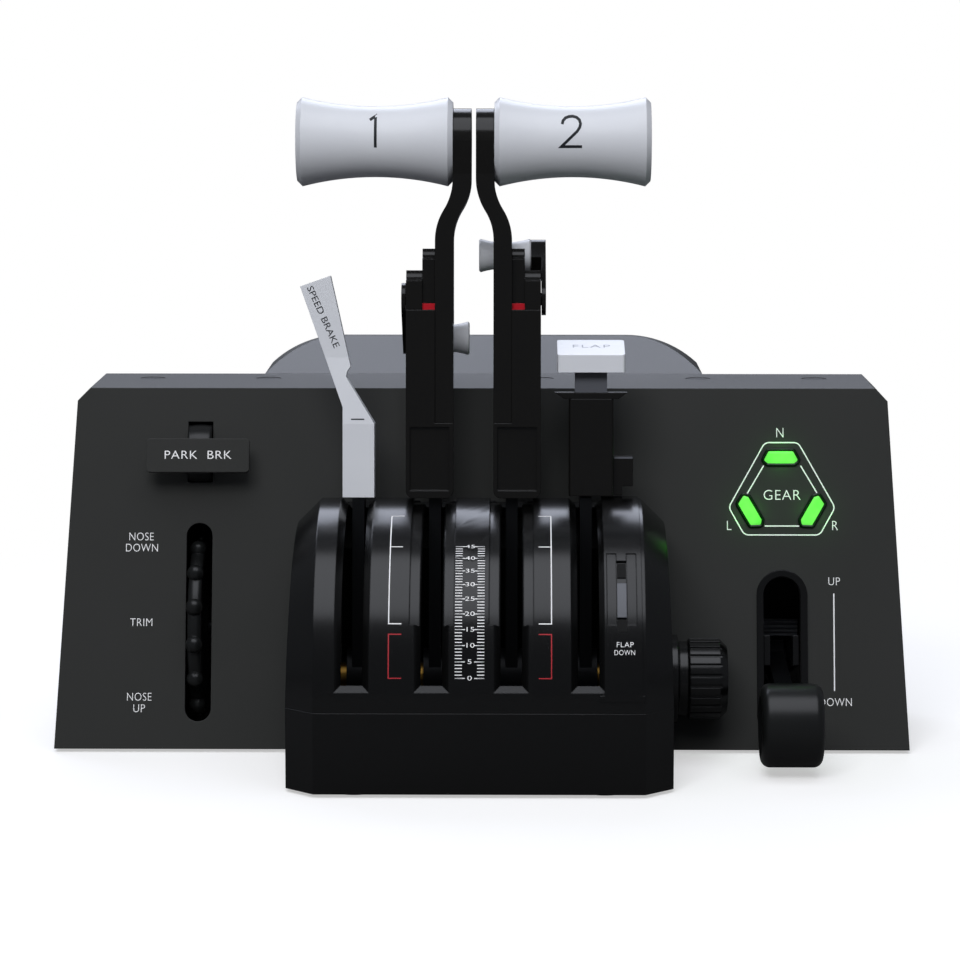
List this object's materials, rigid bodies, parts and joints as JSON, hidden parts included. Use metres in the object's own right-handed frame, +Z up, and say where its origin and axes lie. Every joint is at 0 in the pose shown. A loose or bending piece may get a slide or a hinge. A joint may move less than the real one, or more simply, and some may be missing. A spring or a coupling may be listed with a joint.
{
  "type": "throttle quadrant",
  "caption": "Desktop flight-simulator throttle quadrant with thrust, reverse, speed brake and flap levers, trim wheel, gear lever and lamps.",
  "frame": {"origin": "middle of the footprint on the surface that the rubber feet rest on", "axes": "+X to the pilot's right, +Y away from the pilot, +Z up"},
  "size_m": [0.341, 0.2238, 0.2599],
  "materials": {
    "housing": "satin charcoal moulding",
    "module": "satin black moulding",
    "gloss_black": "gloss black",
    "white": "satin white",
    "grey": "light grey",
    "steel": "turned steel",
    "brass": "bare",
    "board": "solder mask",
    "lens": "lit green lens",
    "red": "satin red",
    "rubber": "matt",
    "blade": "black coated steel",
    "socket": "stamped"
  },
  "bodies": {
    "base": {"base_plate": "housing", "rubber_feet": "rubber", "base_screws": "steel", "panel_housing": "housing", "deck_screws": "blade", "hump_cover": "housing", "rear_panel": "housing", "data_socket": "socket", "quadrant_base": "module", "quadrant_cover": "module", "flap_gate_plate": "module", "pivot_shaft": "steel", "side_frames": "steel", "frame_ties": "steel", "shaft_spacers": "brass", "sensor_board": "board", "main_board": "board", "indicator_board": "board", "lamp_bezels": "housing", "gear_lens_nose": "lens", "gear_lens_left": "lens", "gear_lens_right": "lens", "gear_bezel": "module", "gear_bracket": "steel", "gear_hinge_pin": "steel", "trim_bracket": "steel", "trim_axle": "steel", "park_brake_bracket": "steel", "park_brake_pin": "steel"},
    "speed_brake": {"speed_brake_blade": "blade", "speed_brake_handle": "grey"},
    "throttle_1": {"throttle_blade_1": "blade", "throttle_body_1": "gloss_black", "throttle_arm_1": "gloss_black", "throttle_knob_1": "white", "latch_block_1": "gloss_black", "detent_pad_1": "red"},
    "throttle_2": {"throttle_blade_2": "blade", "throttle_body_2": "gloss_black", "throttle_arm_2": "gloss_black", "throttle_knob_2": "white", "latch_block_2": "gloss_black", "detent_pad_2": "red"},
    "reverser_1": {"reverser_bracket_1": "gloss_black", "reverser_knob_1": "white"},
    "reverser_2": {"reverser_bracket_2": "gloss_black", "reverser_knob_2": "white"},
    "flap_lever": {"flap_blade": "blade", "flap_body": "gloss_black", "flap_collar": "gloss_black", "flap_latch": "gloss_black"},
    "flap_lift": {"flap_stem": "grey", "flap_handle": "white"},
    "trim_wheel_body": {"trim_wheel": "gloss_black"},
    "park_brake": {"park_brake_drum": "gloss_black", "park_brake_plate": "gloss_black"},
    "gear_lever": {"gear_arm": "blade", "gear_wheel": "gloss_black"},
    "friction_knob_body": {"friction_knob": "gloss_black"}
  },
  "joints": [
    {"name": "speed_brake_hinge", "type": "hinge", "parent": "base", "child": "speed_brake", "pos_m": [-0.048, -0.04, 0.0325], "axis": [1, 0, 0], "range_deg": [0, 60]},
    {"name": "throttle_1_hinge", "type": "hinge", "parent": "base", "child": "throttle_1", "pos_m": [-0.018, -0.04, 0.0325], "axis": [1, 0, 0], "range_deg": [0, 60]},
    {"name": "throttle_2_hinge", "type": "hinge", "parent": "base", "child": "throttle_2", "pos_m": [0.012, -0.04, 0.0325], "axis": [1, 0, 0], "range_deg": [0, 60]},
    {"name": "reverser_1_hinge", "type": "hinge", "parent": "throttle_1", "child": "reverser_1", "pos_m": [-0.018, -0.02699, 0.18123], "axis": [1, 0, 0], "range_deg": [0, 78.5]},
    {"name": "reverser_2_hinge", "type": "hinge", "parent": "throttle_2", "child": "reverser_2", "pos_m": [0.012, -0.02699, 0.18123], "axis": [1, 0, 0], "range_deg": [-78.5, 0]},
    {"name": "flap_hinge", "type": "hinge", "parent": "base", "child": "flap_lever", "pos_m": [0.041, -0.04, 0.0325], "axis": [1, 0, 0], "range_deg": [0, 60]},
    {"name": "flap_lift_slide", "type": "slide", "parent": "flap_lever", "child": "flap_lift", "axis": [0, 0.0872, 0.9962], "range_m": [0, 0.006], "stiffness_N_per_m": 300, "springref_m": -0.003},
    {"name": "trim_spin", "type": "hinge", "parent": "base", "child": "trim_wheel_body", "pos_m": [-0.1133, 0.01154, 0.04387], "axis": [1, 0, 0], "continuous": true},
    {"name": "park_brake_hinge", "type": "hinge", "parent": "base", "child": "park_brake", "pos_m": [-0.1133, 0.00522, 0.11606], "axis": [1, 0, 0], "range_deg": [0, 25]},
    {"name": "gear_hinge", "type": "hinge", "parent": "base", "child": "gear_lever", "pos_m": [0.12, 0.02484, 0.02942], "axis": [-1, 0, 0], "range_deg": [0, 42]},
    {"name": "friction_spin", "type": "hinge", "parent": "base", "child": "friction_knob_body", "pos_m": [0.085, -0.04, 0.0325], "axis": [1, 0, 0], "continuous": true}
  ]
}
